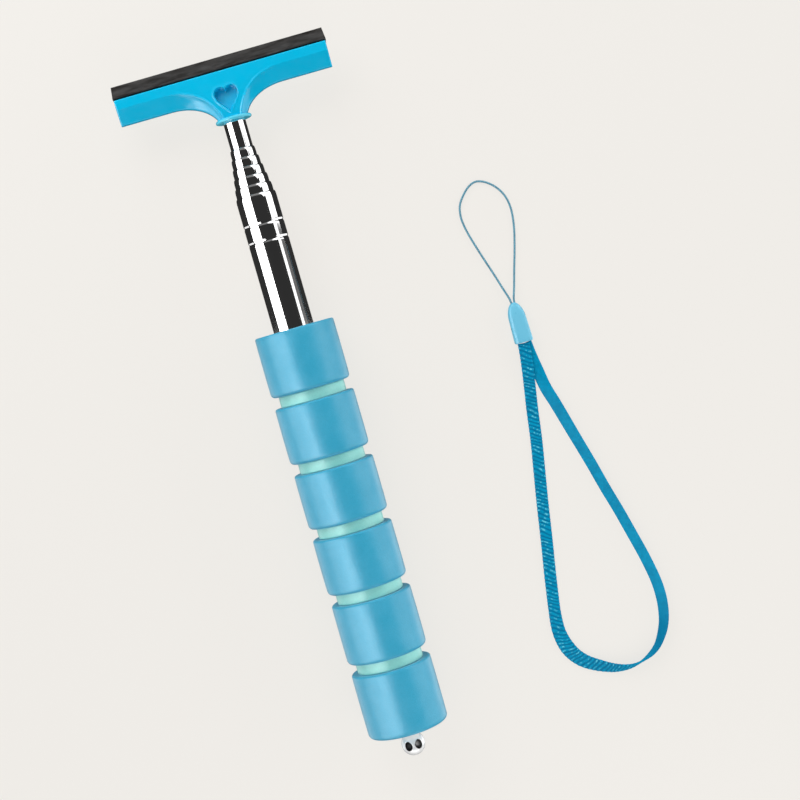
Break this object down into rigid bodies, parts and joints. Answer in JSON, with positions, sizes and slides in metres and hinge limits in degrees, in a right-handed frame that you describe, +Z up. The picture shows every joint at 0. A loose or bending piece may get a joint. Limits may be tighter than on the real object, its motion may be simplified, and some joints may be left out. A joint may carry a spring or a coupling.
{
  "type": "telescopic squeegee",
  "caption": "Hand squeegee with a rubber blade on a telescopic pole, a foam grip and a loose wrist lanyard.",
  "frame": {"origin": "on the surface the folded squeegee lies on, under the middle of its length", "axes": "+Y from the grip to the blade along the pole, X along the blade, +Z up, away from the surface"},
  "size_m": [0.1483, 0.2682, 0.0303],
  "materials": {
    "head_plastic": "moulded, satin gloss, sky blue",
    "blade_rubber": "moulded, matte, dark grey",
    "tube_chrome": "polished steel tube",
    "bush_brass": "rolled sheet, plain",
    "grip_foam": "closed-cell foam, matte, blue",
    "spacer_foam": "closed-cell foam, matte, pale green",
    "plug_plastic": "moulded, grey",
    "ball_chrome": "polished, bright",
    "string_cord": "braided thread, blue",
    "clasp_plastic": "translucent moulding, pale blue",
    "strap_webbing": "woven webbing with a sheen, blue"
  },
  "bodies": {
    "handle": {"outer_tube": "tube_chrome", "grip_sleeve_1": "grip_foam", "grip_sleeve_2": "grip_foam", "grip_sleeve_3": "grip_foam", "grip_sleeve_4": "grip_foam", "grip_sleeve_5": "grip_foam", "grip_sleeve_6": "grip_foam", "spacer_ring_1": "spacer_foam", "spacer_ring_2": "spacer_foam", "spacer_ring_3": "spacer_foam", "spacer_ring_4": "spacer_foam", "spacer_ring_5": "spacer_foam", "end_plug": "plug_plastic", "ball_knob": "ball_chrome"},
    "stage_6": {"tube_6": "tube_chrome", "bush_6": "bush_brass"},
    "stage_5": {"tube_5": "tube_chrome", "bush_5": "bush_brass"},
    "stage_4": {"tube_4": "tube_chrome", "bush_4": "bush_brass"},
    "stage_3": {"tube_3": "tube_chrome", "bush_3": "bush_brass"},
    "stage_2": {"tube_2": "tube_chrome", "bush_2": "bush_brass"},
    "swivel_bush": {"bush_1": "bush_brass"},
    "squeegee": {"tube_1": "tube_chrome", "head_frame": "head_plastic", "rubber_blade": "blade_rubber"},
    "lanyard": {"lanyard_string": "string_cord", "lanyard_clasp": "clasp_plastic", "lanyard_strap": "strap_webbing"}
  },
  "joints": [
    {"name": "tube_6_slide", "type": "slide", "parent": "handle", "child": "stage_6", "axis": [0, 1, 0], "range_m": [0, 0.0997]},
    {"name": "tube_5_slide", "type": "slide", "parent": "stage_6", "child": "stage_5", "axis": [0, 1, 0], "range_m": [0, 0.1174]},
    {"name": "tube_4_slide", "type": "slide", "parent": "stage_5", "child": "stage_4", "axis": [0, 1, 0], "range_m": [0, 0.1201]},
    {"name": "tube_3_slide", "type": "slide", "parent": "stage_4", "child": "stage_3", "axis": [0, 1, 0], "range_m": [0, 0.1229]},
    {"name": "tube_2_slide", "type": "slide", "parent": "stage_3", "child": "stage_2", "axis": [0, 1, 0], "range_m": [0, 0.1256]},
    {"name": "tube_1_slide", "type": "slide", "parent": "stage_2", "child": "swivel_bush", "axis": [0, 1, 0], "range_m": [0, 0.1283]},
    {"name": "head_swivel", "type": "hinge", "parent": "swivel_bush", "child": "squeegee", "pos_m": [0, 0.1, 0.01515], "axis": [0, 1, 0], "continuous": true},
    {"name": "lanyard_lift", "type": "slide", "parent": "handle", "child": "lanyard", "axis": [0, 0, 1], "range_m": [0, 0.1]}
  ]
}
